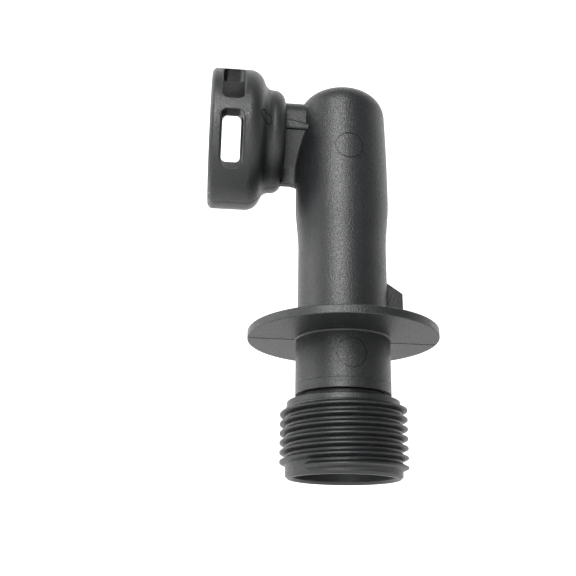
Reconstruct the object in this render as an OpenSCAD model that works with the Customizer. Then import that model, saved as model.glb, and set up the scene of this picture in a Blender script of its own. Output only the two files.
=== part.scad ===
// Moulded hose elbow: a male threaded spigot with a seating flange, a closed upright tube,
// and a side socket that a quick-connect plug is pushed into, with its seal stack.
// The moulding is carried as simple lengths that meet face to face; the seals are loose pieces.
// +Z runs up the tube from the threaded end's face. The socket opens toward -X.

/* [Threaded spigot] */
// Diameter over the thread crests
thread_d = 26.6; // [26.2:0.1:26.9]
// Thread pitch, right hand
thread_pitch = 1.95; // [1.8:0.05:2.2]
// Diameter at the thread root
root_d = 24.2; // [23.9:0.1:24.4]
// Number of thread turns
thread_turns = 6.4; // [5:0.1:6.5]
// Diameter of the mouth bore
mouth_d = 21; // [19:0.1:21.4]
// Depth of the mouth bore
mouth_depth = 14; // [8:0.5:20]
// Height of the collar's top edge above the end face
collar_h = 15.95; // [15.5:0.05:16.4]
// Diameter of the plain neck between collar and flange
neck_d = 20.35; // [20:0.05:21]

/* [Flange] */
// Diameter of the seating flange
flange_d = 41.3; // [36:0.1:46]
// Thickness of the seating flange
flange_t = 1.85; // [1.5:0.05:3]
// Height of the flange's underside above the end face
flange_z = 29.2; // [25:0.1:32]
// Reach of the locating key from the tube's axis
key_reach = 13.25; // [12:0.05:16]
// Thickness of the locating key
key_t = 2.6; // [2:0.1:4]
// Height of the locating key above the end face, at the tube
key_top = 42.6; // [38:0.1:46]

/* [Tube] */
// Diameter of the tube above the flange
tube_d = 19.6; // [19:0.1:20.4]
// Diameter of the tube at its widest, beside the socket
belly_d = 21.1; // [20.6:0.1:22]
// Height of the closed top above the end face
top_z = 89.8; // [88:0.1:93]
// Diameter of the water way up the tube
bore_d = 14.6; // [12:0.1:15]

/* [Socket] */
// Height of the socket's axis above the end face
socket_z = 76.6; // [75:0.05:78]
// Outer diameter of the socket
socket_d = 32.2; // [31.6:0.1:33]
// Inner diameter of the socket
socket_bore_d = 26.8; // [26:0.1:27.4]
// Distance from the tube's axis to the socket's open end
socket_reach = 30.7; // [30:0.1:32]
// Width of each latch window along the socket
window_w = 4.7; // [4.2:0.1:5]
// Width of the rib left between the two windows on each side
window_rib = 2.8; // [2:0.1:4]
// Height of each latch window
window_h = 11; // [9:0.1:11.4]

/* [Seals] */
// Section of each O-ring
o_ring_cs = 2; // [1.8:0.1:2.1]
// Diameter of the bore that holds the seals
seal_bore_d = 18; // [17:0.1:18.6]
// Bore of the bush that guides the plug
bush_bore_d = 14.6; // [14.2:0.1:15]

/* [Hidden] */
$fn = 96;

// Thread: blunt start low on the front left, ridge tapered from root to crest
thread_start_deg = 226;
thread_start_z = 1.7;
ridge_root_w = 1.5;
ridge_crest_w = 0.6;
ridge_bury = 0.3;
thread_steps_per_turn = 32;
thread_steps = floor(thread_turns * thread_steps_per_turn);

// Spigot details
end_chamfer = 0.55;
collar_d = root_d - 0.4;
groove_w = 1.1;
groove_depth = 0.55;
groove_z = collar_h + 0.25;

// The plain neck ends a little under the flange, whose length carries the rest of it
neck_split_z = flange_z - 2;

// Tube heights: straight, then widening to the belly, then easing in to the dome
swell_start_z = 51;
belly_z = 61;
dome_edge_r = 6;
dome_z = top_z - dome_edge_r;
dome_d = 20.4;
bore_top_z = top_z - 4;
tube_z = flange_z + flange_t;
key_fall = 2.35;

// Socket and seal stack, all distances measured from the tube's axis toward the open end
rim_round = 1.2;
lead_in_d = 27.4;
lead_in_depth = 2.3;
shoulder_round = 3.3;
shoulder_x = 18.9;
housing_d = 23.7;
housing_x = 13.8;
housing_round = 2.6;
throat_d = 5.8;
seal_floor_x = 15.6;
socket_floor_x = 21.2;
spacer_t = 0.9;
inner_ring_x = seal_floor_x;
spacer_x = inner_ring_x + o_ring_cs;
outer_ring_x = spacer_x + spacer_t;
bush_spigot_x = outer_ring_x + o_ring_cs;
bush_flange_t = 1.4;
bush_flange_d = 24.6;
spacer_bore_d = 15;
window_x = 23.4;
window_corner_r = 1.2;

// Neck between seal housing and tube: round top, sides drawn in to a thin web
neck_top_r = 4.9;
neck_top_z = 81.3;
neck_side_w = 5.1;
neck_side_z = 77;
web_t = 1.8;
web_top_z = 69.7;
web_bottom_z = 65.7;
side_rib_w = 11.8;
side_rib_z = 77.5;
side_rib_t = 1.5;

// One cross-section of the thread ridge at step i: four points, inner pair buried in the root
function ridge_section(i) =
    let (a = thread_start_deg + i * 360 / thread_steps_per_turn)
    let (z = thread_start_z + i * thread_pitch / thread_steps_per_turn)
    let (r_in = root_d / 2 - ridge_bury)
    let (r_out = thread_d / 2)
    [
        [r_in * cos(a), r_in * sin(a), z - ridge_root_w / 2],
        [r_out * cos(a), r_out * sin(a), z - ridge_crest_w / 2],
        [r_out * cos(a), r_out * sin(a), z + ridge_crest_w / 2],
        [r_in * cos(a), r_in * sin(a), z + ridge_root_w / 2]
    ];

module thread_ridge() {
    points = [for (i = [0 : thread_steps]) each ridge_section(i)];
    sides = [
        for (i = [0 : thread_steps - 1])
            for (k = [0 : 3])
                each [
                    [4 * i + k, 4 * i + (k + 1) % 4, 4 * i + 4 + (k + 1) % 4],
                    [4 * i + k, 4 * i + 4 + (k + 1) % 4, 4 * i + 4 + k]
                ]
    ];
    last = 4 * thread_steps;
    ends = [[0, 2, 1], [0, 3, 2], [last, last + 1, last + 2], [last, last + 2, last + 3]];
    polyhedron(points = points, faces = concat(sides, ends));
}

module threaded_spigot() {
    color("#2b2c2d")
        difference() {
            union() {
                rotate_extrude()
                    polygon([
                        [0, 0],
                        [root_d / 2 - end_chamfer, 0],
                        [root_d / 2, end_chamfer],
                        [root_d / 2, collar_h - 1.4],
                        [collar_d / 2, collar_h - 1.2],
                        [collar_d / 2, collar_h],
                        [0, collar_h]
                    ]);
                thread_ridge();
            }
            water_way();
        }
}

module plain_neck() {
    color("#2b2c2d")
        difference() {
            rotate_extrude()
                polygon([
                    [0, collar_h],
                    [neck_d / 2, collar_h],
                    [neck_d / 2, groove_z],
                    [neck_d / 2 - groove_depth, groove_z],
                    [neck_d / 2 - groove_depth, groove_z + groove_w],
                    [neck_d / 2, groove_z + groove_w],
                    [neck_d / 2, neck_split_z],
                    [0, neck_split_z]
                ]);
            water_way();
        }
}

module seat_flange() {
    color("#2b2c2d")
        difference() {
            union() {
                translate([0, 0, neck_split_z])
                    cylinder(d = neck_d, h = flange_z - neck_split_z + 1);
                translate([0, 0, flange_z])
                    cylinder(d = flange_d, h = flange_t);
            }
            water_way();
        }
}

module locating_key() {
    color("#2b2c2d")
        difference() {
            translate([0, key_t / 2, 0])
                rotate([90, 0, 0])
                    linear_extrude(height = key_t)
                        polygon([
                            [tube_d / 2 - 1, tube_z],
                            [key_reach, tube_z],
                            [key_reach, key_top - key_fall],
                            [tube_d / 2, key_top],
                            [tube_d / 2 - 1, key_top]
                        ]);
            cylinder(d = tube_d, h = top_z);
        }
}

// The tube's outside: straight, widening to the belly, easing in, and closed by a rounded top
module tube_profile() {
    polygon([
        [0, tube_z],
        [tube_d / 2, tube_z],
        [tube_d / 2, swell_start_z],
        [belly_d / 2, belly_z],
        [dome_d / 2, dome_z],
        [0, dome_z]
    ]);
    translate([0, dome_z - 1])
        square([dome_d / 2 - dome_edge_r, dome_edge_r + 1]);
    intersection() {
        translate([dome_d / 2 - dome_edge_r, dome_z])
            circle(r = dome_edge_r);
        translate([0, dome_z - 1])
            square([dome_d, dome_edge_r + 2]);
    }
}

module upright_tube() {
    color("#2b2c2d")
        difference() {
            rotate_extrude()
                tube_profile();
            water_way();
        }
}

// Puts a profile drawn as [radius, distance] round the socket's axis, distance toward -X
module turn_about_socket() {
    translate([0, 0, socket_z])
        rotate([0, -90, 0])
            rotate_extrude()
                children();
}

// Rectangle from the axis out to radius r between two distances, its outer corners rounded
module rounded_band(r, x0, x1, round0, round1) {
    translate([0, x0])
        square([r - round0, x1 - x0 - round1]);
    translate([0, x0 + round0])
        square([r, x1 - x0 - round0 - round1]);
    translate([0, x0 + round0])
        square([r - round1, x1 - x0 - round0]);
    translate([r - round0, x0 + round0])
        circle(r = round0);
    translate([r - round1, x1 - round1])
        circle(r = round1);
}

module socket_outer() {
    turn_about_socket() {
        rounded_band(socket_d / 2, shoulder_x, socket_reach, shoulder_round, rim_round);
    }
    turn_about_socket() {
        rounded_band(housing_d / 2, housing_x, shoulder_x + 2, housing_round, 0.1);
    }
}

// Section of the neck, drawn as [across, height]: round top, side ribs, sides drawn in to a web
module neck_section() {
    translate([0, neck_top_z])
        circle(r = neck_top_r);
    polygon([
        [-neck_top_r, neck_top_z],
        [-neck_side_w, neck_side_z],
        [-web_t / 2, web_top_z],
        [-web_t / 2, web_bottom_z],
        [web_t / 2, web_bottom_z],
        [web_t / 2, web_top_z],
        [neck_side_w, neck_side_z],
        [neck_top_r, neck_top_z]
    ]);
    translate([-side_rib_w / 2, side_rib_z])
        square([side_rib_w, side_rib_t]);
}

module cross_neck() {
    color("#2b2c2d")
        difference() {
            translate([-housing_x - housing_round, 0, 0])
                rotate([90, 0, 90])
                    linear_extrude(height = housing_x + housing_round - 6)
                        neck_section();
            rotate_extrude()
                tube_profile();
            socket_outer();
            water_way();
        }
}

module window_outline() {
    r = window_corner_r;
    translate([r, 0])
        square([window_w - 2 * r, window_h]);
    translate([0, r])
        square([window_w, window_h - 2 * r]);
    for (x = [r, window_w - r], z = [r, window_h - r])
        translate([x, z])
            circle(r = r);
}

// Two straight cuts along Y, each one opening a window in the front wall and one in the back
module window_cuts() {
    for (side = [0, 1])
        translate([-window_x - window_w, socket_d, socket_z])
            mirror([0, 0, side])
                translate([0, 0, window_rib / 2])
                    rotate([90, 0, 0])
                        linear_extrude(height = 2 * socket_d)
                            window_outline();
}

module water_way() {
    translate([0, 0, -1])
        cylinder(d = mouth_d, h = mouth_depth + 1);
    cylinder(d = bore_d, h = bore_top_z);
    translate([0, 0, socket_z])
        rotate([0, -90, 0])
            cylinder(d = throat_d, h = socket_floor_x);
    translate([-seal_floor_x, 0, socket_z])
        rotate([0, -90, 0])
            cylinder(d = seal_bore_d, h = socket_floor_x - seal_floor_x + 1);
    translate([-socket_floor_x, 0, socket_z])
        rotate([0, -90, 0])
            cylinder(d = socket_bore_d, h = socket_reach);
    translate([-socket_reach + lead_in_depth, 0, socket_z])
        rotate([0, -90, 0])
            cylinder(d = lead_in_d, h = socket_reach);
}

module side_socket() {
    color("#2b2c2d")
        difference() {
            socket_outer();
            water_way();
            window_cuts();
        }
}

// O-ring round the socket's axis whose near side lies at distance x
module o_ring(x) {
    turn_about_socket()
        translate([(seal_bore_d - o_ring_cs) / 2, x + o_ring_cs / 2])
            circle(d = o_ring_cs, $fn = 48);
}

module inner_o_ring() {
    color("#141414")
        o_ring(inner_ring_x);
}

module outer_o_ring() {
    color("#141414")
        o_ring(outer_ring_x);
}

module spacer_ring() {
    color("#d8d6cf")
        turn_about_socket()
            translate([spacer_bore_d / 2, spacer_x])
                square([(seal_bore_d - spacer_bore_d) / 2, spacer_t]);
}

// Stepped bush: a short spigot presses into the seal bore, its flange lies on the socket floor
module seal_bush() {
    color("#3a3b3c")
        turn_about_socket() {
            translate([bush_bore_d / 2, bush_spigot_x])
                square([(seal_bore_d - bush_bore_d) / 2, socket_floor_x - bush_spigot_x]);
            translate([bush_bore_d / 2, socket_floor_x])
                square([(bush_flange_d - bush_bore_d) / 2, bush_flange_t]);
        }
}

threaded_spigot();
plain_neck();
seat_flange();
locating_key();
upright_tube();
cross_neck();
side_socket();
inner_o_ring();
spacer_ring();
outer_o_ring();
seal_bush();
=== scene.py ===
import math
import bmesh
import bpy
from mathutils import Matrix, Vector


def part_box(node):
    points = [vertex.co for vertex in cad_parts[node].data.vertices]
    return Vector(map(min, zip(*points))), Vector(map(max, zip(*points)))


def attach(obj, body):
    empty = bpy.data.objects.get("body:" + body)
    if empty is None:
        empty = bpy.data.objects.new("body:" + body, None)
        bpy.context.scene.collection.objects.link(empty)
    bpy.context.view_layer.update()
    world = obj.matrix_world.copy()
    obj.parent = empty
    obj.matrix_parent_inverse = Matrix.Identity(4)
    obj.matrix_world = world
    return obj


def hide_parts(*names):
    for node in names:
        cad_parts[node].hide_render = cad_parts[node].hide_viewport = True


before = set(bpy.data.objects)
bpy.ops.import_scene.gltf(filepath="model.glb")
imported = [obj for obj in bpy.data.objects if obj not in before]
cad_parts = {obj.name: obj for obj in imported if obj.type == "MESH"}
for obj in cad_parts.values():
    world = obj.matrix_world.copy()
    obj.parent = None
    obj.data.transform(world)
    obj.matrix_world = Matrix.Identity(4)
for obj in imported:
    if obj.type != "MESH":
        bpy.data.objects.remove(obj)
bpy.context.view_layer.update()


# ---- Elbow body: spigot, flange and tube -------------------------------------------------
# The upright half of the one-piece moulding: threaded spigot, collar, undercut, neck, thin
# seating flange and closed tube. Black glass-filled nylon, moulded in a two-part mould that
# opens front and back, so all of it is round about one upright axis.
MM = 0.001
EDGE = 0.12  # the round that moulding leaves on an outer edge
SEGMENTS = 160
ARC_STEP = 11  # degrees between two points of a rounded corner


def size_in_mm(node):
    """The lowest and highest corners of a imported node, in millimetres."""
    return [[v / MM for v in corner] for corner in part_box(node)]


def rounded(corners, closed=True):
    """Outline through (across, along, radius) corners, each one rounded by an arc of its radius."""
    outline = []
    for i, (x, y, radius) in enumerate(corners):
        at_end = not closed and i in (0, len(corners) - 1)
        if radius == 0 or at_end:
            outline.append((x, y))
            continue
        corner = Vector((x, y))
        before = (Vector(corners[i - 1][:2]) - corner).normalized()
        after = (Vector(corners[(i + 1) % len(corners)][:2]) - corner).normalized()
        half = before.angle(after) / 2
        centre = corner + (before + after).normalized() * (radius / math.sin(half))
        arm = corner + before * (radius / math.tan(half)) - centre
        turn = math.pi - 2 * half
        if before.cross(after) > 0:
            turn = -turn
        steps = max(2, math.ceil(abs(math.degrees(turn)) / ARC_STEP))
        for k in range(steps + 1):
            c = math.cos(turn * k / steps)
            s = math.sin(turn * k / steps)
            outline.append((centre.x + arm.x * c - arm.y * s, centre.y + arm.x * s + arm.y * c))
    return outline


def upright(radius, along, angle):
    """A point at this radius and height, turned about the tube's axis."""
    return (radius * math.cos(angle), radius * math.sin(angle), along)


def solid(name, points, faces):
    """A closed mesh object, with its faces turned outward. It is in millimetres until finished."""
    form = bmesh.new()
    corners = [form.verts.new(p) for p in points]
    for face in faces:
        form.faces.new([corners[i] for i in face])
    bmesh.ops.recalc_face_normals(form, faces=form.faces)
    mesh = bpy.data.meshes.new(name)
    form.to_mesh(mesh)
    form.free()
    piece = bpy.data.objects.new(name, mesh)
    bpy.context.scene.collection.objects.link(piece)
    return piece


def turned(name, outline, place=upright, segments=SEGMENTS):
    """A solid of revolution from (radius, along) points; it may start and end on the axis."""
    points = []
    rings = []
    for radius, along in outline:
        if radius < 1e-6:
            rings.append([len(points)] * segments)
            points.append(place(0, along, 0))
        else:
            rings.append(list(range(len(points), len(points) + segments)))
            points += [place(radius, along, 2 * math.pi * k / segments) for k in range(segments)]
    on_axis = outline[0][0] < 1e-6
    faces = []
    for i in range(len(rings) - 1 if on_axis else len(rings)):
        near = rings[i]
        far = rings[(i + 1) % len(rings)]
        for k in range(segments):
            n = (k + 1) % segments
            face = [near[k], near[n], far[n], far[k]]
            face = [v for j, v in enumerate(face) if v not in face[:j]]
            if len(face) > 2:
                faces.append(face)
    return solid(name, points, faces)


spigot_high = size_in_mm("threaded_spigot")[1]
flange_high = size_in_mm("seat_flange")[1]
tube_high = size_in_mm("upright_tube")[1]
crest_r = spigot_high[0]
ridge_height = 1.2
root_r = crest_r - ridge_height
collar_top = 15.8
undercut_top = 17.1
undercut_r = 8.8
neck_r = 10.17
flange_r = flange_high[0] - 0.03  # leaves room for the parting line
flange_top = flange_high[2]
flange_thickness = 1.85
flange_under = flange_top - flange_thickness
tube_r = 9.81
belly_r = tube_high[0]
shoulder_r = 10.2
top = tube_high[2]
swell_from = 50
belly_at = 61.5
dome_from = 82.6


def tube_radius(height):
    """Radius of the tube: straight, swelling gently to the belly, easing in to the dome."""
    if height < belly_at:
        t = min(1, max(0, (height - swell_from) / (belly_at - swell_from)))
        return tube_r + (belly_r - tube_r) * t * t * (3 - 2 * t)
    t = (height - belly_at) / (dome_from - belly_at)
    return belly_r + (shoulder_r - belly_r) * t * t


DOME_POWER = 2 / 2.35  # a little squarer than an ellipse
DOME_STEPS = 24
SIDE_STEP = 1.3
dome = []
for i in range(1, DOME_STEPS + 1):
    turn = math.pi / 2 * i / DOME_STEPS
    r = shoulder_r * math.cos(turn) ** DOME_POWER if i < DOME_STEPS else 0
    dome.append((r, dome_from + (top - dome_from) * math.sin(turn) ** DOME_POWER))
side_steps = math.floor((dome_from - swell_from) / SIDE_STEP)
side_heights = [swell_from + SIDE_STEP * k for k in range(side_steps + 1)]
tube_side = [(tube_radius(h), h) for h in side_heights]
foot = rounded(
    [
        (0, 0, 0),
        (root_r - 0.55, 0, EDGE),
        (root_r, 0.55, EDGE),
        (root_r, collar_top - 1.3, EDGE),
        (root_r - 0.2, collar_top - 1.2, EDGE),
        (root_r - 0.2, collar_top, 0.3),
        (undercut_r, collar_top, 0.15),
        (undercut_r, undercut_top, 0.1),
        (neck_r, undercut_top, EDGE),
        (neck_r, 19.1, 0.02),
        (neck_r - 0.05, 19.15, 0.02),
        (neck_r - 0.05, 19.25, 0.02),
        (neck_r, 19.3, 0.02),
        (neck_r, flange_under, 0.45),
        (flange_r, flange_under, 0.2),
        (flange_r, flange_top, 0.3),
        (tube_r, flange_top, 0.5),
        (tube_r, swell_from - 1, 0),
    ],
    closed=False,
)
body = turned("elbow_body", foot + tube_side + dome)


# ---- Elbow body: thread ------------------------------------------------------------------
# A right-hand hose thread moulded in one with the spigot: nearly six and a half turns.
# Its ridge has a narrow flat crest, rounded at both edges, and starts blunt at the front left.
PITCH = 1.95
TURNS = 6.4
STEPS_PER_TURN = 160
START_ANGLE = math.radians(226)
START_HEIGHT = 1.7
BURIED = 0.4  # how deep the ridge starts inside the root, so that the two fuse
FLAT = 0.17  # half the width of the crest
FLANK = 0.74  # half the width of the ridge at its foot

# half the ridge's outline as (half width, radius), from inside the root up to the crest
half_ridge = [
    (FLANK + 0.14, root_r - BURIED),
    (FLANK + 0.14, root_r - 0.03),
    (FLANK - 0.04, root_r + 0.08),
    (FLAT + 0.15, crest_r - 0.3),
    (FLAT + 0.07, crest_r - 0.1),
    (FLAT - 0.04, crest_r),
]
ridge = [(-h, r) for h, r in half_ridge] + [(h, r) for h, r in reversed(half_ridge)]


def union(target, *tools):
    """Fuses these solids into target, as the melt does in the mould."""
    combine(target, "UNION", tools)


def cut(target, *tools):
    """Takes these solids out of target, as the mould's cores and inserts do."""
    combine(target, "DIFFERENCE", tools)


def combine(target, operation, tools):
    """Runs one boolean for each tool, keeps its result and drops the tool."""
    for tool in tools:
        step = target.modifiers.new(operation, "BOOLEAN")
        step.operation = operation
        step.solver = "MANIFOLD"
        step.object = tool
        bpy.context.view_layer.update()
        shaped = target.evaluated_get(bpy.context.evaluated_depsgraph_get())
        mesh = bpy.data.meshes.new_from_object(shaped)
        target.modifiers.clear()
        target.data = mesh
        bpy.data.objects.remove(tool)


def lofted(name, rings):
    """A solid through rings of points, all with the same count, closed flat at both ends."""
    n = len(rings[0])
    points = [p for ring in rings for p in ring]
    faces = [list(range(n)), list(range(len(points) - n, len(points)))]
    for i in range(len(rings) - 1):
        for k in range(n):
            m = (k + 1) % n
            faces.append([i * n + k, i * n + m, (i + 1) * n + m, (i + 1) * n + k])
    return solid(name, points, faces)


rings = []
for i in range(round(TURNS * STEPS_PER_TURN) + 1):
    angle = START_ANGLE + 2 * math.pi * i / STEPS_PER_TURN
    height = START_HEIGHT + PITCH * i / STEPS_PER_TURN
    rings.append([upright(r, height + h, angle) for h, r in ridge])
union(body, lofted("thread", rings))


# ---- Elbow body: locating key ------------------------------------------------------------
# A flat wedge that stands on the flange against the tube, on the side away from the socket.
# It keeps the fitting from turning in its seat. Moulded in one with the rest.
key_low, key_high = size_in_mm("locating_key")
KEY_FALL = 2.35
KEY_BEVEL = 0.15
KEY_INTO_TUBE = 1
KEY_INTO_FLANGE = 0.5


def key_ring(y, inset):
    """The key's outline as seen from the front, drawn in by inset, at depth y."""
    reach = key_high[0] - inset
    outline = rounded(
        [
            (tube_r - KEY_INTO_TUBE, flange_top - KEY_INTO_FLANGE, 0),
            (reach, flange_top - KEY_INTO_FLANGE, 0),
            (reach, key_high[2] - KEY_FALL - inset, 0.3),
            (tube_r - inset, key_high[2] - inset, 0),
            (tube_r - KEY_INTO_TUBE, key_high[2] - inset, 0),
        ]
    )
    return [(x, y, z) for x, z in outline]


key_rings = [key_ring(key_low[1], KEY_BEVEL), key_ring(key_low[1] + KEY_BEVEL, 0)]
key_rings += [key_ring(key_high[1] - KEY_BEVEL, 0), key_ring(key_high[1], KEY_BEVEL)]
union(body, lofted("key", key_rings))


# ---- Elbow body: cross neck --------------------------------------------------------------
# The short neck that carries the water from the tube to the socket: a rounded top, a tapering
# rib along each side, and sides drawn in below to a thin web that a fillet joins to the tube.
neck_low, neck_high = size_in_mm("cross_neck")
neck_top = neck_high[2]
web_bottom = neck_low[2]
rib_reach = neck_high[1]
NECK_ENDS = (-15.2, -6.5)  # inside the socket's housing and inside the tube
RIB_UNDER = 77.4
WEB_HALF = 0.9
WEB_TOP = 69.7
SIDE_HALF = 5.15
RIB_TOP = 79.1  # at 8.5 mm from the tube's axis
RIB_TAPER = 0.22  # how much the rib grows for each millimetre toward the socket
FILLET_LEVELS = 30

half_neck = [
    (4.9, neck_top, 4.2),
    (SIDE_HALF, RIB_UNDER, 0.1),
    (WEB_HALF, WEB_TOP, 1.5),
    (WEB_HALF, web_bottom, 0.3),
]
neck_outline = rounded(half_neck + [(-y, z, r) for y, z, r in reversed(half_neck)])
union(body, lofted("neck", [[(x, y, z) for y, z in neck_outline] for x in NECK_ENDS]))

rib_rings = []
for x in NECK_ENDS:
    rib_top = RIB_TOP - RIB_TAPER * (x + 8.5)
    rib = [(rib_reach, rib_top, 0.8), (rib_reach, RIB_UNDER, 0.6)]
    rib_outline = rounded(rib + [(-y, z, r) for y, z, r in reversed(rib)])
    rib_rings.append([(x, y, z) for y, z in rib_outline])
union(body, lofted("rib", rib_rings))


def fillet_ring(z, side):
    """One level of the fillet in the corner between the web's side and the tube."""
    half = WEB_HALF + (SIDE_HALF - WEB_HALF) * max(0, z - WEB_TOP) / (RIB_UNDER - WEB_TOP)
    reach = 0.75 + 0.05 * (RIB_UNDER - z)
    r = tube_radius(z)
    turn = math.asin(half / r)
    corner = Vector((-r * math.cos(turn), half))
    on_web = corner + Vector((-reach, -0.03))
    turn += reach / r
    on_tube = Vector((-math.cos(turn), math.sin(turn))) * (r - 0.03)
    ring = [corner + Vector((0.5, -0.5))]
    for k in range(7):
        t = k / 6
        ring.append(on_tube * (1 - t) ** 2 + corner * (2 * t * (1 - t)) + on_web * t**2)
    return [(v.x, side * v.y, z) for v in ring]


for side in (-1, 1):
    rise = (RIB_UNDER + 0.1 - web_bottom) / FILLET_LEVELS
    levels = [web_bottom + rise * k for k in range(FILLET_LEVELS + 1)]
    union(body, lofted("fillet", [fillet_ring(z, side) for z in levels]))


# ---- Elbow body: side socket -------------------------------------------------------------
# The round seal housing and the wider socket that a quick-connect plug is pushed into, both
# turned about a level axis. Moulded in one with the neck, with soft rounds on every corner.
socket_low, socket_high = size_in_mm("side_socket")
socket_z = (socket_low[2] + socket_high[2]) / 2
socket_r = socket_high[1] - 0.06  # leaves room for the parting line
socket_end = -socket_low[0]
shoulder_foot = 17.9
shoulder_top = 19.9
housing_r = 11.85
housing_back = 13.8


def level(radius, along, angle):
    """A point at this radius and distance from the tube, turned about the socket's axis."""
    return (-along, radius * math.cos(angle), socket_z + radius * math.sin(angle))


def socket_side(grow, end):
    """The outside of housing and socket as (radius, distance), grown by grow, cut off at end."""
    return rounded(
        [
            (0, housing_back - grow, 0),
            (housing_r + grow, housing_back - grow, 2.6 + grow),
            (housing_r + grow, shoulder_foot - grow, 2.0 - grow),
            (socket_r + grow, shoulder_top - grow, 3.5 + grow),
            (socket_r + grow, end, 1.25),
            (0, end, 0),
        ],
        closed=False,
    )


union(body, turned("socket", socket_side(0, socket_end), level))


# ---- Elbow body: parting line ------------------------------------------------------------
# The two mould halves meet in the plane of the tube and the socket. Where they meet the melt
# leaves a fine raised line along the tube, round the socket and under the flange.
LINE_HALF = 0.08
LINE_RISE = 0.035


def add_line(name, outline):
    """Raises a fine line where a flat outline, in the plane of the parting, meets the surface."""
    union(body, lofted(name, [[(x, y, z) for x, z in outline] for y in (-LINE_HALF, LINE_HALF)]))


tube_line = [(tube_r + LINE_RISE, flange_top + 1)]
tube_line += [(r + LINE_RISE, h) for r, h in tube_side if h < dome_from - 1]
add_line("tube_line", tube_line + [(-r, h) for r, h in reversed(tube_line)])
half_line = [(-a, r) for r, a in socket_side(LINE_RISE, socket_end - 0.6)]
socket_line = [(x, socket_z + r) for x, r in half_line]
socket_line += [(x, socket_z - r) for x, r in reversed(half_line[1:-1])]
add_line("socket_line", socket_line)
for near, far in ((neck_r - 0.5, flange_r - 0.3), (0.5 - neck_r, 0.3 - flange_r)):
    low = flange_under - 0.06
    add_line("flange_line", [(near, low), (far, low), (far, low + 0.5), (near, low + 0.5)])


# ---- Elbow body: water way ---------------------------------------------------------------
# Two long cores leave the inside: one from the threaded end, wide for the first 14 mm and
# then narrower up the tube, and one from the socket's mouth through the seal bore to it.
MOUTH_R = 10.5
MOUTH_DEPTH = 14
TUBE_BORE_R = 7.3
TOP_WALL = 4
upright_core = rounded(
    [
        (0, -1, 0),
        (MOUTH_R + 0.5, -1, 0),
        (MOUTH_R + 0.5, 0, 0),
        (MOUTH_R, 0.5, 0.3),
        (MOUTH_R, MOUTH_DEPTH, 0.3),
        (TUBE_BORE_R, MOUTH_DEPTH, 0.3),
        (TUBE_BORE_R, top - TOP_WALL, 3),
        (0, top - TOP_WALL, 0),
    ],
    closed=False,
)
THROAT_R = 2.9
THROAT_FROM = 5.5
SEAL_BORE_R = 9.0
SEAL_FLOOR = 15.6
SOCKET_FLOOR = 21.2
SOCKET_BORE_R = 13.4
RIM_BORE_R = 13.7
RIM_DEPTH = 2.3
socket_core = rounded(
    [
        (0, THROAT_FROM, 0),
        (THROAT_R, THROAT_FROM, 0),
        (THROAT_R, SEAL_FLOOR, 0.15),
        (SEAL_BORE_R, SEAL_FLOOR, 0.15),
        (SEAL_BORE_R, SOCKET_FLOOR, 0.15),
        (SOCKET_BORE_R, SOCKET_FLOOR, 0.3),
        (SOCKET_BORE_R, socket_end - RIM_DEPTH, 0.1),
        (RIM_BORE_R, socket_end - RIM_DEPTH, 0.1),
        (RIM_BORE_R, socket_end - 0.5, 0.3),
        (RIM_BORE_R + 0.45, socket_end + 0.05, 0),
        (RIM_BORE_R + 0.45, socket_end + 1, 0),
        (0, socket_end + 1, 0),
    ],
    closed=False,
)
cut(body, turned("upright_core", upright_core), turned("socket_core", socket_core, level))


# ---- Elbow body: latch windows -----------------------------------------------------------
# Four windows, two in the front wall and two in the back, that the plug's latches spring out
# into. Slides in the mould leave them, cut straight through, with a soft outer edge.
WINDOW_NEAR = 23.4
WINDOW_FAR = 28.1
WINDOW_LOW = 1.4
WINDOW_HIGH = 12.4
WINDOW_CORNER = 1.2
SLIDE_ROOT = 1.5  # where a slide starts, in front of the mid-plane and inside the bore
# how far each ring of the slide stands out from the window's outline and from the wall's surface
SLIDE_RINGS = [(0, -0.3), (0.04, -0.15), (0.13, -0.04), (0.28, 0.02), (0.4, 0.2)]


def window_outline(grow):
    """The window seen from the front, as (distance from the tube, height above the axis)."""
    r = WINDOW_CORNER + grow
    return rounded(
        [
            (WINDOW_NEAR - grow, WINDOW_LOW - grow, r),
            (WINDOW_FAR + grow, WINDOW_LOW - grow, r),
            (WINDOW_FAR + grow, WINDOW_HIGH + grow, r),
            (WINDOW_NEAR - grow, WINDOW_HIGH + grow, r),
        ]
    )


def window_slide(front, upper):
    """The slide that leaves one window; front and upper are 1 or -1."""
    layers = [[(a, h, SLIDE_ROOT) for a, h in window_outline(0)]]
    for grow, beyond in SLIDE_RINGS:
        ring = window_outline(grow)
        layers.append([(a, h, math.sqrt(socket_r**2 - h * h) + beyond) for a, h in ring])
    layers.append([(a, h, socket_r + 2) for a, h in window_outline(SLIDE_RINGS[-1][0])])
    rings = [[(-a, -front * y, socket_z + upper * h) for a, h, y in ring] for ring in layers]
    return lofted("slide", rings)


for front in (1, -1):
    for upper in (1, -1):
        cut(body, window_slide(front, upper))


# ---- Elbow body: pin and gate marks ------------------------------------------------------
# Two ejector pins push the moulding out of the front half of the mould, one on the neck and
# one high on the tube, and the melt came in through a gate behind the socket's shoulder. Each
# leaves a fine round groove in the wall.
PIN_LINE = 0.12  # half the width of a groove
PIN_DEPTH = 0.16
PIN_X = 0.2
PIN_HEIGHTS = (24.2, 71.3)
PIN_R = 3.05
GATE_X = -18.4
GATE_HEIGHT = 75.4
GATE_R = 1.25
GROOVE_FRONT = -16
GROOVE_BACK = -6
# the outline of neck and tube, as far in as the grooves are deep
pin_skin = [(0, 15), (neck_r - PIN_DEPTH, 15), (neck_r - PIN_DEPTH, 29)]
pin_skin += [(r - PIN_DEPTH, h) for r, h in tube_side if 65 < h < 77]
pin_skin.append((0, pin_skin[-1][1]))


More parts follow.
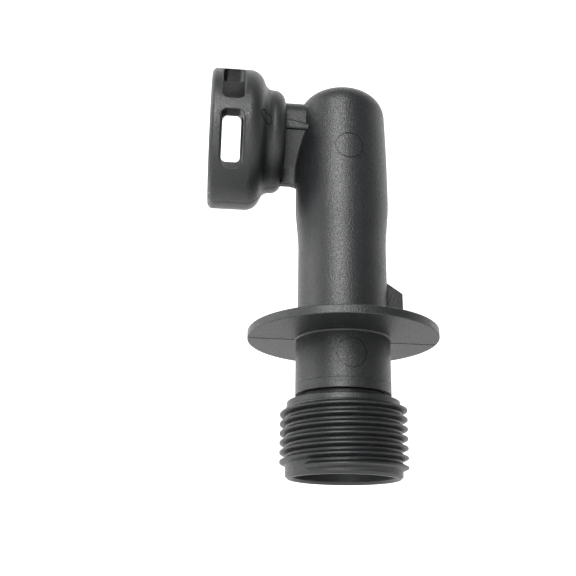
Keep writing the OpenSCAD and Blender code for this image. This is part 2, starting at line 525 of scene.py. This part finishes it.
def ring_mark(x, z, mark_r, skin):
    """Cuts a ring into the front wall, down to skin, which is the same wall a little inside."""

    def front_to_back(radius, along, angle):
        """A point on the pin, whose axis runs front to back."""
        return (x + radius * math.cos(angle), along, z + radius * math.sin(angle))

    near = mark_r - PIN_LINE
    far = mark_r + PIN_LINE
    section = [(near, GROOVE_FRONT), (far, GROOVE_FRONT), (far, GROOVE_BACK), (near, GROOVE_BACK)]
    groove = turned("groove", section, front_to_back, 64)
    cut(groove, skin)
    cut(body, groove)


for height in PIN_HEIGHTS:
    ring_mark(PIN_X, height, PIN_R, turned("skin", pin_skin))
gate_skin = turned("skin", socket_side(-PIN_DEPTH, socket_end), level)
ring_mark(GATE_X, GATE_HEIGHT, GATE_R, gate_skin)


# ---- Elbow body: nylon -------------------------------------------------------------------
# PA66 with 30% glass, black, as moulded. The etched mould and the glass ends at the surface
# give it a fine speckled grain, and its satin skin turns grey where it mirrors bright surroundings.
NYLON_DARK = "#131415"
NYLON_LIGHT = "#202122"
NYLON_FLECK = "#55575a"
GRAIN_MM = 0.36  # the real grain is near 0.1 mm; drawn coarser so that it shows
MOTTLE_MM = 5
WAVE_MM = 2.4
FACTOR, COLOUR_A, COLOUR_B = 0, 6, 7  # the places of a colour Mix node's inputs
MIXED = 2  # and the place of the colour it gives


def linear(hex_colour):
    """An sRGB hex colour as the linear colour that a shader takes."""
    parts = [int(hex_colour[i : i + 2], 16) / 255 for i in (1, 3, 5)]
    return [c / 12.92 if c <= 0.04045 else ((c + 0.055) / 1.055) ** 2.4 for c in parts] + [1]


def add_node(material, kind, inputs=None, **settings):
    """Adds a shader node. An input, by name or place, is a value or another node's output."""
    tree = material.node_tree
    node = tree.nodes.new(kind)
    for name, value in settings.items():
        setattr(node, name, value)
    for name, value in (inputs or {}).items():
        if isinstance(value, bpy.types.NodeSocket):
            tree.links.new(value, node.inputs[name])
        else:
            node.inputs[name].default_value = value
    return node


def new_material(name):
    """An empty material with its output node, and that output's surface socket."""
    material = bpy.data.materials.new(name)
    material.use_nodes = True
    material.node_tree.nodes.clear()
    return material, add_node(material, "ShaderNodeOutputMaterial").inputs["Surface"]


def per_metre(size_mm):
    """A noise scale that gives features of about this size."""
    return 1 / (size_mm * MM)


nylon, nylon_surface = new_material("glass_filled_nylon_black")
coords = add_node(nylon, "ShaderNodeTexCoord").outputs["Object"]
mottle = add_node(
    nylon, "ShaderNodeTexNoise", {"Vector": coords, "Scale": per_metre(MOTTLE_MM), "Detail": 3.0}
)
grain = add_node(
    nylon,
    "ShaderNodeTexNoise",
    {"Vector": coords, "Scale": per_metre(GRAIN_MM), "Detail": 2.0, "Roughness": 0.65},
)
fleck = add_node(
    nylon, "ShaderNodeTexVoronoi", {"Vector": coords, "Scale": per_metre(GRAIN_MM * 1.1)}
)
fleck_amount = add_node(
    nylon,
    "ShaderNodeMapRange",
    {
        "Value": fleck.outputs["Distance"],
        "From Min": 0.12,
        "From Max": 0.3,
        "To Min": 0.12,
        "To Max": 0.0,
    },
)
base = add_node(
    nylon,
    "ShaderNodeMix",
    {FACTOR: mottle.outputs["Fac"], COLOUR_A: linear(NYLON_DARK), COLOUR_B: linear(NYLON_LIGHT)},
    data_type="RGBA",
)
flecked = add_node(
    nylon,
    "ShaderNodeMix",
    {
        FACTOR: fleck_amount.outputs["Result"],
        COLOUR_A: base.outputs[MIXED],
        COLOUR_B: linear(NYLON_FLECK),
    },
    data_type="RGBA",
)
satin = add_node(
    nylon,
    "ShaderNodeMapRange",
    {
        "Value": grain.outputs["Fac"],
        "From Min": 0.3,
        "From Max": 0.7,
        "To Min": 0.32,
        "To Max": 0.52,
    },
)
wave = add_node(
    nylon, "ShaderNodeTexNoise", {"Vector": coords, "Scale": per_metre(WAVE_MM), "Detail": 1.0}
)
wavy = add_node(
    nylon,
    "ShaderNodeBump",
    {"Height": wave.outputs["Fac"], "Strength": 0.35, "Distance": 0.03 * MM},
)
grained = add_node(
    nylon,
    "ShaderNodeBump",
    {
        "Height": grain.outputs["Fac"],
        "Strength": 1.0,
        "Distance": 0.08 * MM,
        "Normal": wavy.outputs["Normal"],
    },
)
nylon_shader = add_node(
    nylon,
    "ShaderNodeBsdfPrincipled",
    {
        "Base Color": flecked.outputs[MIXED],
        "Roughness": satin.outputs["Result"],
        "IOR": 1.53,
        "Normal": grained.outputs["Normal"],
    },
)
nylon.node_tree.links.new(nylon_shader.outputs["BSDF"], nylon_surface)


SHARP_FROM = 32  # degrees; flatter edges are shaded smooth


def finish_piece(piece, material, slot, *nodes):
    """Scales a piece to metres, shades it smooth, gives it its material and its place."""
    piece.data.transform(Matrix.Scale(MM, 4))
    piece.data.materials.clear()
    piece.data.materials.append(material)
    piece.data.shade_smooth()
    piece.data.set_sharp_from_angle(angle=math.radians(SHARP_FROM))
    weighted = piece.modifiers.new("even_shading", "WEIGHTED_NORMAL")
    weighted.keep_sharp = True
    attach(piece, "root")
    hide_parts(*nodes)


finish_piece(
    body,
    nylon,
    "glass_filled_nylon",
    "threaded_spigot",
    "plain_neck",
    "seat_flange",
    "locating_key",
    "upright_tube",
    "cross_neck",
    "side_socket",
)


# ---- O-rings -----------------------------------------------------------------------------
# Two nitrile rubber rings in the seal bore. They are moulded in halves, so each has a fine
# flash line round its inside, and they are dull with a trace of grease.
RUBBER_DARK = "#121212"
RUBBER_LIGHT = "#232323"
BLOOM_MM = 1.6
FLASH = 0.05
RING_POINTS = 40
RING_SEGMENTS = 128

rubber, rubber_surface = new_material("nitrile_rubber_black")
coords = add_node(rubber, "ShaderNodeTexCoord").outputs["Object"]
bloom = add_node(
    rubber, "ShaderNodeTexNoise", {"Vector": coords, "Scale": per_metre(BLOOM_MM), "Detail": 3.0}
)
greasy = add_node(
    rubber,
    "ShaderNodeMapRange",
    {
        "Value": bloom.outputs["Fac"],
        "From Min": 0.3,
        "From Max": 0.7,
        "To Min": 0.32,
        "To Max": 0.6,
    },
)
tone = add_node(
    rubber,
    "ShaderNodeMix",
    {FACTOR: bloom.outputs["Fac"], COLOUR_A: linear(RUBBER_DARK), COLOUR_B: linear(RUBBER_LIGHT)},
    data_type="RGBA",
)
skin = add_node(
    rubber,
    "ShaderNodeBump",
    {"Height": bloom.outputs["Fac"], "Strength": 0.2, "Distance": 0.02 * MM},
)
rubber_shader = add_node(
    rubber,
    "ShaderNodeBsdfPrincipled",
    {
        "Base Color": tone.outputs[MIXED],
        "Roughness": greasy.outputs["Result"],
        "IOR": 1.52,
        "Normal": skin.outputs["Normal"],
    },
)
rubber.node_tree.links.new(rubber_shader.outputs["BSDF"], rubber_surface)

for name in ("inner_o_ring", "outer_o_ring"):
    low, high = size_in_mm(name)
    section_r = (high[0] - low[0]) / 2
    middle = -(low[0] + high[0]) / 2
    ring_r = high[1] - section_r
    section = []
    for k in range(RING_POINTS):
        turn = 2 * math.pi * k / RING_POINTS
        flash = FLASH if k == RING_POINTS // 2 else 0
        reach = section_r + flash
        section.append((ring_r + reach * math.cos(turn), middle + reach * math.sin(turn)))
    o_ring = turned(name + "_moulded", section, level, RING_SEGMENTS)
    finish_piece(o_ring, rubber, "seal_rubber", name)


# ---- Spacer ring -------------------------------------------------------------------------
# A flat ring of natural acetal between the O-rings, turned from rod. The tool leaves its chalky
# white faces faintly ruffled, with a soft shine, and its edges are broken.
SPACER_BORE_R = 7.5
ACETAL_DARK = "#cfccc2"
ACETAL_LIGHT = "#dddad2"
RUFFLE_MM = 0.5  # the tool's real marks are near 0.1 mm; drawn coarser so that they show

acetal, acetal_surface = new_material("acetal_natural")
coords = add_node(acetal, "ShaderNodeTexCoord").outputs["Object"]
ruffle = add_node(
    acetal, "ShaderNodeTexNoise", {"Vector": coords, "Scale": per_metre(RUFFLE_MM), "Detail": 2.0}
)
chalk = add_node(
    acetal,
    "ShaderNodeMix",
    {FACTOR: ruffle.outputs["Fac"], COLOUR_A: linear(ACETAL_DARK), COLOUR_B: linear(ACETAL_LIGHT)},
    data_type="RGBA",
)
ruffled = add_node(
    acetal,
    "ShaderNodeBump",
    {"Height": ruffle.outputs["Fac"], "Strength": 0.2, "Distance": 0.02 * MM},
)
acetal_shader = add_node(
    acetal,
    "ShaderNodeBsdfPrincipled",
    {
        "Base Color": chalk.outputs[MIXED],
        "Roughness": 0.42,
        "IOR": 1.48,
        "Normal": ruffled.outputs["Normal"],
    },
)
acetal.node_tree.links.new(acetal_shader.outputs["BSDF"], acetal_surface)

low, high = size_in_mm("spacer_ring")
spacer_section = rounded(
    [
        (SPACER_BORE_R, -high[0], 0.15),
        (high[1], -high[0], 0.15),
        (high[1], -low[0], 0.15),
        (SPACER_BORE_R, -low[0], 0.15),
    ]
)
spacer = turned("spacer_ring_turned", spacer_section, level, RING_SEGMENTS)
finish_piece(spacer, acetal, "acetal_white", "spacer_ring")


# ---- Seal bush ---------------------------------------------------------------------------
# A stepped bush of dark grey acetal pressed in after the rings. Its flange lies on the
# socket's floor, and a wide chamfer leads the plug's nose into its bore. It has an even, dark
# satin skin with faint flow marks.
BUSH_BORE_R = 7.3
BUSH_DARK = "#2f3031"
BUSH_LIGHT = "#3b3c3e"
FLOW_MM = 1.2

dark_acetal, dark_surface = new_material("acetal_dark_grey")
coords = add_node(dark_acetal, "ShaderNodeTexCoord").outputs["Object"]
flow = add_node(
    dark_acetal,
    "ShaderNodeTexNoise",
    {"Vector": coords, "Scale": per_metre(FLOW_MM), "Detail": 3.0},
)
grey = add_node(
    dark_acetal,
    "ShaderNodeMix",
    {FACTOR: flow.outputs["Fac"], COLOUR_A: linear(BUSH_DARK), COLOUR_B: linear(BUSH_LIGHT)},
    data_type="RGBA",
)
sheen = add_node(
    dark_acetal,
    "ShaderNodeMapRange",
    {
        "Value": flow.outputs["Fac"],
        "From Min": 0.3,
        "From Max": 0.7,
        "To Min": 0.3,
        "To Max": 0.45,
    },
)
dark_shader = add_node(
    dark_acetal,
    "ShaderNodeBsdfPrincipled",
    {"Base Color": grey.outputs[MIXED], "Roughness": sheen.outputs["Result"], "IOR": 1.48},
)
dark_acetal.node_tree.links.new(dark_shader.outputs["BSDF"], dark_surface)

low, high = size_in_mm("seal_bush")
bush_r = high[1]
bush_section = rounded(
    [
        (BUSH_BORE_R, -high[0], 0.1),
        (SEAL_BORE_R, -high[0], 0.15),
        (SEAL_BORE_R, SOCKET_FLOOR, 0.05),
        (bush_r, SOCKET_FLOOR, 0.15),
        (bush_r, -low[0], 0.3),
        (bush_r - 1.6, -low[0], 0.1),
        (bush_r - 1.8, -low[0] - 0.35, 0.1),
        (BUSH_BORE_R + 1.9, -low[0] - 0.35, 0.1),
        (BUSH_BORE_R + 1.7, -low[0], 0.1),
        (BUSH_BORE_R + 0.7, -low[0], 0.15),
        (BUSH_BORE_R, -low[0] - 0.7, 0.1),
    ]
)
bush = turned("seal_bush_moulded", bush_section, level, RING_SEGMENTS)
finish_piece(bush, dark_acetal, "acetal_dark", "seal_bush")


# ---- Floor, light and camera -------------------------------------------------------------
# A plain pale floor well below, and a surround that lights white from behind and greyer from in
# front, but looks plain white. Soft boxes stand in front, at the left, low in front and over the
# floor behind. The camera stands low in front, a little to the socket's side, and looks up.
FLOOR_Z = -62 * MM
FLOOR_SIZE = 8
bpy.ops.mesh.primitive_plane_add(size=FLOOR_SIZE, location=(0, 0, FLOOR_Z))
floor = bpy.context.object
floor.name = "floor"
paper, paper_surface = new_material("pale_paper")
paper_shader = add_node(
    paper,
    "ShaderNodeBsdfPrincipled",
    {
        "Base Color": linear("#f4f4f4"),
        "Roughness": 0.9,
        "Emission Color": linear("#ffffff"),
        "Emission Strength": 0.05,
    },
)
paper.node_tree.links.new(paper_shader.outputs["BSDF"], paper_surface)
floor.data.materials.append(paper)

world = bpy.data.worlds.new("studio_surround")
bpy.context.scene.world = world
world.use_nodes = True
world.node_tree.nodes.clear()
toward = add_node(world, "ShaderNodeTexCoord").outputs["Generated"]
axes = add_node(world, "ShaderNodeSeparateXYZ", {"Vector": toward})
surround = add_node(
    world,
    "ShaderNodeMapRange",
    {
        "Value": axes.outputs["Y"],
        "From Min": -0.35,
        "From Max": 0.35,
        "To Min": 0.18,
        "To Max": 1.25,
    },
)
seen = add_node(world, "ShaderNodeLightPath").outputs["Is Camera Ray"]
# a number Mix node takes its two numbers at places 2 and 3
strength = add_node(world, "ShaderNodeMix", {FACTOR: seen, 2: surround.outputs["Result"], 3: 1.1})
white = add_node(
    world,
    "ShaderNodeBackground",
    {"Color": linear("#ffffff"), "Strength": strength.outputs[0]},
)
add_node(world, "ShaderNodeOutputWorld", {"Surface": white.outputs["Background"]})


def soft_box(name, place, aim, width, height, power, spread=180):
    """A flat lamp at place, aimed at a point, in metres and watts; a grid narrows its spread."""
    lamp = bpy.data.lights.new(name, "AREA")
    lamp.shape = "RECTANGLE"
    lamp.size = width
    lamp.size_y = height
    lamp.energy = power
    lamp.spread = math.radians(spread)
    holder = bpy.data.objects.new(name, lamp)
    holder.visible_camera = False
    bpy.context.scene.collection.objects.link(holder)
    holder.location = place
    holder.rotation_euler = (Vector(aim) - Vector(place)).to_track_quat("-Z", "Y").to_euler()


soft_box("front_strip", (-0.15, -0.47, 0.27), (0, 0, 0.05), 0.26, 0.4, 2.9)
soft_box("left_box", (-0.5, -0.05, 0.3), (0, 0, 0.06), 0.4, 0.4, 1.2)
soft_box("low_box", (-0.12, -0.3, -0.045), (0, 0, 0.01), 0.12, 0.03, 0.1)
soft_box("floor_box", (-0.5, 0.45, 0.5), (-0.5, 0.451, -0.06), 0.4, 0.4, 3.0, spread=60)

camera_data = bpy.data.cameras.new("camera")
camera_data.sensor_width = 36
camera_data.lens = 50.1
camera_data.clip_start = 0.005
camera = bpy.data.objects.new("camera", camera_data)
bpy.context.scene.collection.objects.link(camera)
TURN = math.radians(9.4)
HEADING = math.radians(4.104) - TURN
PITCH_UP = math.radians(19.27)
ROLL = math.radians(0.85)
distance = 167.4 * MM
spot = Vector((-distance * math.sin(TURN), -distance * math.cos(TURN), -17.15 * MM))
camera.matrix_world = (
    Matrix.Translation(spot)
    @ Matrix.Rotation(HEADING, 4, "Z")
    @ Matrix.Rotation(math.pi / 2 + PITCH_UP, 4, "X")
    @ Matrix.Rotation(ROLL, 4, "Z")
)
bpy.context.scene.camera = camera
bpy.context.scene.view_settings.view_transform = "Standard"
bpy.context.scene.view_settings.look = "Medium High Contrast"
bpy.context.scene.view_settings.exposure = 0.3
